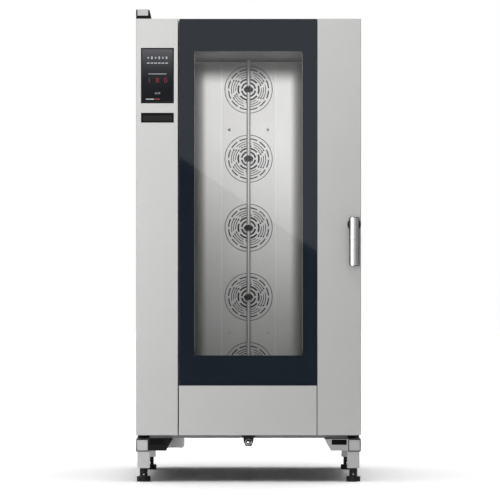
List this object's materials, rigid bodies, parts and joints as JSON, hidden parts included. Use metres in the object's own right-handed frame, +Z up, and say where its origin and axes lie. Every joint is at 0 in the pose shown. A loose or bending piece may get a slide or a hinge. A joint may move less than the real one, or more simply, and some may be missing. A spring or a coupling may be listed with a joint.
{
  "type": "combi steamer oven",
  "caption": "Floor-standing combi steamer oven with a tall glazed door, control column, convection fans and levelling feet; the door, handle, flap, fans and feet move.",
  "frame": {"origin": "floor level, under the middle of the oven's width and whole depth", "axes": "+X to the right as seen from the front, +Y to the rear, +Z up"},
  "size_m": [0.892, 1.018, 1.875],
  "materials": {
    "panel_steel": "satin stainless sheet",
    "base_steel": "plain stainless sheet",
    "cavity_steel": "bright stainless sheet",
    "chassis_steel": "satin stainless tube",
    "polished_steel": "polished stainless",
    "door_frame_steel": "dark coated steel",
    "outer_glass": "toughened glass with a dark printed border",
    "inner_glass": "clear toughened glass",
    "display_glass": "black touch glass",
    "black_plastic": "black moulded plastic",
    "black_steel": "black coated steel",
    "rubber": "matt silicone rubber",
    "nozzle_steel": "darkened stainless",
    "fan_steel": "pressed stainless",
    "heater_tube": "heat-tinted tube",
    "motor_paint": "grey painted casting",
    "box_paint": "grey painted sheet",
    "mineral_wool": "mineral wool",
    "circuit_board": "green board",
    "light_bar": "white diffuser",
    "brass": "turned brass"
  },
  "bodies": {
    "oven_body": {"base_pan": "base_steel", "side_panel_left": "panel_steel", "side_panel_right": "panel_steel", "rear_panel": "panel_steel", "top_panel": "panel_steel", "front_frame": "panel_steel", "control_fascia": "panel_steel", "display_glass": "display_glass", "display_housing": "black_plastic", "control_board": "circuit_board", "port_housing": "black_plastic", "cavity_wrap": "cavity_steel", "cavity_ceiling": "cavity_steel", "cavity_floor": "cavity_steel", "insulation_slabs": "mineral_wool", "door_gasket": "rubber", "fan_baffle": "cavity_steel", "side_baffles": "cavity_steel", "baffle_posts": "cavity_steel", "water_pipe": "cavity_steel", "spray_nozzles": "nozzle_steel", "heating_elements": "heater_tube", "fan_motors": "motor_paint", "steam_generator": "cavity_steel", "drain_pipe": "cavity_steel", "water_inlets": "brass", "cable_gland": "black_plastic", "terminal_box": "box_paint", "exhaust_stack": "panel_steel", "stack_flange": "black_plastic", "hinge_brackets": "base_steel", "latch_keeper": "base_steel", "chassis_rails": "chassis_steel", "leg_gussets": "base_steel", "mount_pads": "rubber", "dock_bracket": "black_steel", "dock_pin": "polished_steel"},
    "door": {"door_hinge_stile": "door_frame_steel", "door_latch_stile": "door_frame_steel", "door_top_rail": "door_frame_steel", "door_bottom_rail": "door_frame_steel", "door_outer_glass": "outer_glass", "door_inner_glass": "inner_glass", "door_fascia": "panel_steel", "door_lower_panel": "panel_steel", "door_light_bars": "light_bar", "hinge_bushes": "brass"},
    "handle": {"handle_bar": "polished_steel", "handle_hub": "black_plastic", "latch_spindle": "base_steel"},
    "service_flap": {"port_flap": "black_plastic"},
    "fan_1": {"fan_wheel_1": "fan_steel"},
    "fan_2": {"fan_wheel_2": "fan_steel"},
    "fan_3": {"fan_wheel_3": "fan_steel"},
    "fan_4": {"fan_wheel_4": "fan_steel"},
    "fan_5": {"fan_wheel_5": "fan_steel"},
    "levelling_foot_front_left": {"foot_front_left": "black_steel"},
    "levelling_foot_front_right": {"foot_front_right": "black_steel"},
    "levelling_foot_rear_left": {"foot_rear_left": "black_steel"},
    "levelling_foot_rear_right": {"foot_rear_right": "black_steel"}
  },
  "joints": [
    {"name": "door_hinge", "type": "hinge", "parent": "oven_body", "child": "door", "pos_m": [-0.2565, -0.4365, 1], "axis": [0, 0, -1], "range_deg": [0, 110], "deforming": ["latch_keeper"]},
    {"name": "handle_turn", "type": "hinge", "parent": "door", "child": "handle", "pos_m": [0.418, -0.447, 1.021], "axis": [0, 1, 0], "range_deg": [0, 90]},
    {"name": "flap_hinge", "type": "hinge", "parent": "oven_body", "child": "service_flap", "pos_m": [-0.361, -0.4435, 1.46], "axis": [-1, 0, 0], "range_deg": [0, 90]},
    {"name": "fan_1_spin", "type": "hinge", "parent": "oven_body", "child": "fan_1", "pos_m": [0, 0.35, 0.438], "axis": [0, 1, 0], "continuous": true},
    {"name": "fan_2_spin", "type": "hinge", "parent": "oven_body", "child": "fan_2", "pos_m": [0, 0.35, 0.72875], "axis": [0, 1, 0], "continuous": true},
    {"name": "fan_3_spin", "type": "hinge", "parent": "oven_body", "child": "fan_3", "pos_m": [0, 0.35, 1.0195], "axis": [0, 1, 0], "continuous": true},
    {"name": "fan_4_spin", "type": "hinge", "parent": "oven_body", "child": "fan_4", "pos_m": [0, 0.35, 1.31025], "axis": [0, 1, 0], "continuous": true},
    {"name": "fan_5_spin", "type": "hinge", "parent": "oven_body", "child": "fan_5", "pos_m": [0, 0.35, 1.601], "axis": [0, 1, 0], "continuous": true},
    {"name": "foot_front_left_height", "type": "slide", "parent": "oven_body", "child": "levelling_foot_front_left", "axis": [0, 0, -1], "range_m": [0, 0.03]},
    {"name": "foot_front_right_height", "type": "slide", "parent": "oven_body", "child": "levelling_foot_front_right", "axis": [0, 0, -1], "range_m": [0, 0.03]},
    {"name": "foot_rear_left_height", "type": "slide", "parent": "oven_body", "child": "levelling_foot_rear_left", "axis": [0, 0, -1], "range_m": [0, 0.03]},
    {"name": "foot_rear_right_height", "type": "slide", "parent": "oven_body", "child": "levelling_foot_rear_right", "axis": [0, 0, -1], "range_m": [0, 0.03]}
  ]
}
